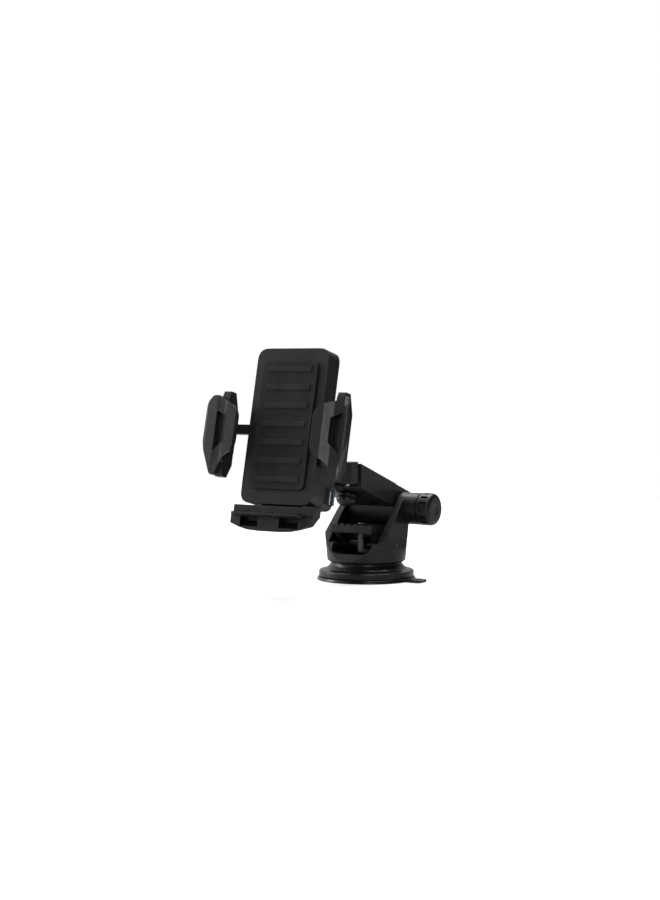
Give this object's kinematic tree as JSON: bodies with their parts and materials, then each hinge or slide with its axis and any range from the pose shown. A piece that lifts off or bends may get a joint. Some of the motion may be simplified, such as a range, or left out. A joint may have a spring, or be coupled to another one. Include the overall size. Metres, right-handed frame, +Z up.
{
  "type": "car phone mount",
  "caption": "Dashboard phone mount: lever-locked suction base, tilting telescopic arm with clamp knob, ball-jointed cradle with two gripping side arms and a sliding foot.",
  "frame": {"origin": "centre of the suction face, on the surface the mount stands on", "axes": "+Z up out of the suction face; -Y is the side the cradle and the phone's screen face; +X is the side of the clamp knob"},
  "size_m": [0.1, 0.1497, 0.1457],
  "materials": {
    "black_plastic": "fine moulded texture, semi matte",
    "satin_plastic": "satin moulded plastic",
    "gloss_plastic": "polished dark plastic",
    "rubber": "matte rubber",
    "gel": "tacky gel, soft shine",
    "steel": "zinc plated",
    "nylon": "unpainted nylon"
  },
  "bodies": {
    "base": {"suction_pad": "gel", "base_ring": "satin_plastic", "tower_housing": "black_plastic", "base_screw_1": "steel", "base_screw_2": "steel", "base_screw_3": "steel", "base_screw_4": "steel", "lever_pin": "steel", "pivot_bolt": "steel", "washer_left": "nylon", "washer_right": "nylon"},
    "lever": {"lock_lever": "satin_plastic"},
    "stem": {"pull_stem": "nylon"},
    "knob": {"clamp_knob": "black_plastic"},
    "sleeve": {"outer_arm": "black_plastic", "arm_tail_cap": "satin_plastic"},
    "lock": {"slide_lock_knob": "satin_plastic"},
    "slider": {"inner_bar": "satin_plastic", "arm_head": "satin_plastic", "head_screw_1": "steel", "head_screw_2": "steel"},
    "swivel": {"swivel_plate": "satin_plastic", "swivel_bolt": "steel", "swivel_nut": "steel", "ball_stud": "gloss_plastic"},
    "race": {"ball_race": "nylon"},
    "cradle": {"back_cover": "black_plastic", "front_cover": "black_plastic", "rest_pad": "rubber", "cover_screw_1": "steel", "cover_screw_2": "steel", "cover_screw_3": "steel", "cover_screw_4": "steel", "pinion_pin": "steel", "button_spring_left": "steel", "button_spring_right": "steel"},
    "nut": {"ring_nut": "satin_plastic"},
    "gear": {"pinion": "nylon"},
    "left_arm": {"side_arm_left": "satin_plastic", "grip_pad_left": "rubber"},
    "right_arm": {"side_arm_right": "satin_plastic", "grip_pad_right": "rubber"},
    "left_button": {"release_button_left": "gloss_plastic"},
    "right_button": {"release_button_right": "gloss_plastic"},
    "foot": {"foot_tray": "black_plastic", "foot_pad_1": "rubber", "foot_pad_2": "rubber", "foot_pad_3": "rubber"}
  },
  "joints": [
    {"name": "lever_lift", "type": "hinge", "parent": "base", "child": "lever", "pos_m": [0, -0.002, 0.022], "axis": [-1, 0, 0], "range_deg": [0, 50]},
    {"name": "stem_lift", "type": "slide", "parent": "base", "child": "stem", "axis": [0, 0, 1], "range_m": [-0.00118, 0]},
    {"name": "arm_tilt", "type": "hinge", "parent": "base", "child": "sleeve", "pos_m": [0, 0.0168, 0.0447], "axis": [-1, 0, 0], "range_deg": [-10, 50]},
    {"name": "clamp_turn", "type": "hinge", "parent": "base", "child": "knob", "pos_m": [0, 0.0168, 0.0447], "axis": [1, 0, 0], "continuous": true},
    {"name": "arm_extend", "type": "slide", "parent": "sleeve", "child": "slider", "axis": [0, -0.9478, 0.319], "range_m": [0, 0.042]},
    {"name": "lock_turn", "type": "hinge", "parent": "sleeve", "child": "lock", "pos_m": [0, -0.02272, 0.058], "axis": [0, 0.319, 0.9478], "continuous": true},
    {"name": "swivel_turn", "type": "hinge", "parent": "slider", "child": "swivel", "pos_m": [0, -0.0475, 0.0611], "axis": [0, 0, 1], "range_deg": [-30, 30]},
    {"name": "ball_tilt", "type": "hinge", "parent": "swivel", "child": "race", "pos_m": [0, -0.07086, 0.06396], "axis": [-1, 0, 0], "range_deg": [-22, 16]},
    {"name": "cradle_turn", "type": "hinge", "parent": "race", "child": "cradle", "pos_m": [0, -0.07086, 0.06396], "axis": [0, 0.9734, -0.2292], "range_deg": [-90, 90]},
    {"name": "nut_turn", "type": "hinge", "parent": "cradle", "child": "nut", "pos_m": [0, -0.07086, 0.06396], "axis": [0, 0.9734, -0.2292], "range_deg": [-30, 150]},
    {"name": "side_arms_open", "type": "slide", "parent": "cradle", "child": "left_arm", "axis": [-1, 0, 0], "range_m": [-0.0075, 0.0105]},
    {"name": "right_arm_open", "type": "slide", "parent": "cradle", "child": "right_arm", "axis": [1, 0, 0], "range_m": [-0.0075, 0.0105]},
    {"name": "pinion_turn", "type": "hinge", "parent": "cradle", "child": "gear", "pos_m": [0, -0.09484, 0.08861], "axis": [0, 0.9734, -0.2292], "range_deg": [-130, 90]},
    {"name": "left_button_press", "type": "slide", "parent": "cradle", "child": "left_button", "axis": [1, 0, 0], "range_m": [0, 0.0018], "stiffness_N_per_m": 600, "springref_m": -0.001, "deforming": ["button_spring_left"]},
    {"name": "right_button_press", "type": "slide", "parent": "cradle", "child": "right_button", "axis": [-1, 0, 0], "range_m": [0, 0.0018], "stiffness_N_per_m": 600, "springref_m": -0.001, "deforming": ["button_spring_right"]},
    {"name": "foot_extend", "type": "slide", "parent": "cradle", "child": "foot", "axis": [0, -0.2292, -0.9734], "range_m": [0, 0.012]}
  ],
  "couplings": [
    {"joint": "stem_lift", "follows": "lever_lift", "m_per_rad": -0.001317},
    {"joint": "right_arm_open", "follows": "side_arms_open", "ratio": 1},
    {"joint": "pinion_turn", "follows": "side_arms_open", "rad_per_m": -200}
  ]
}
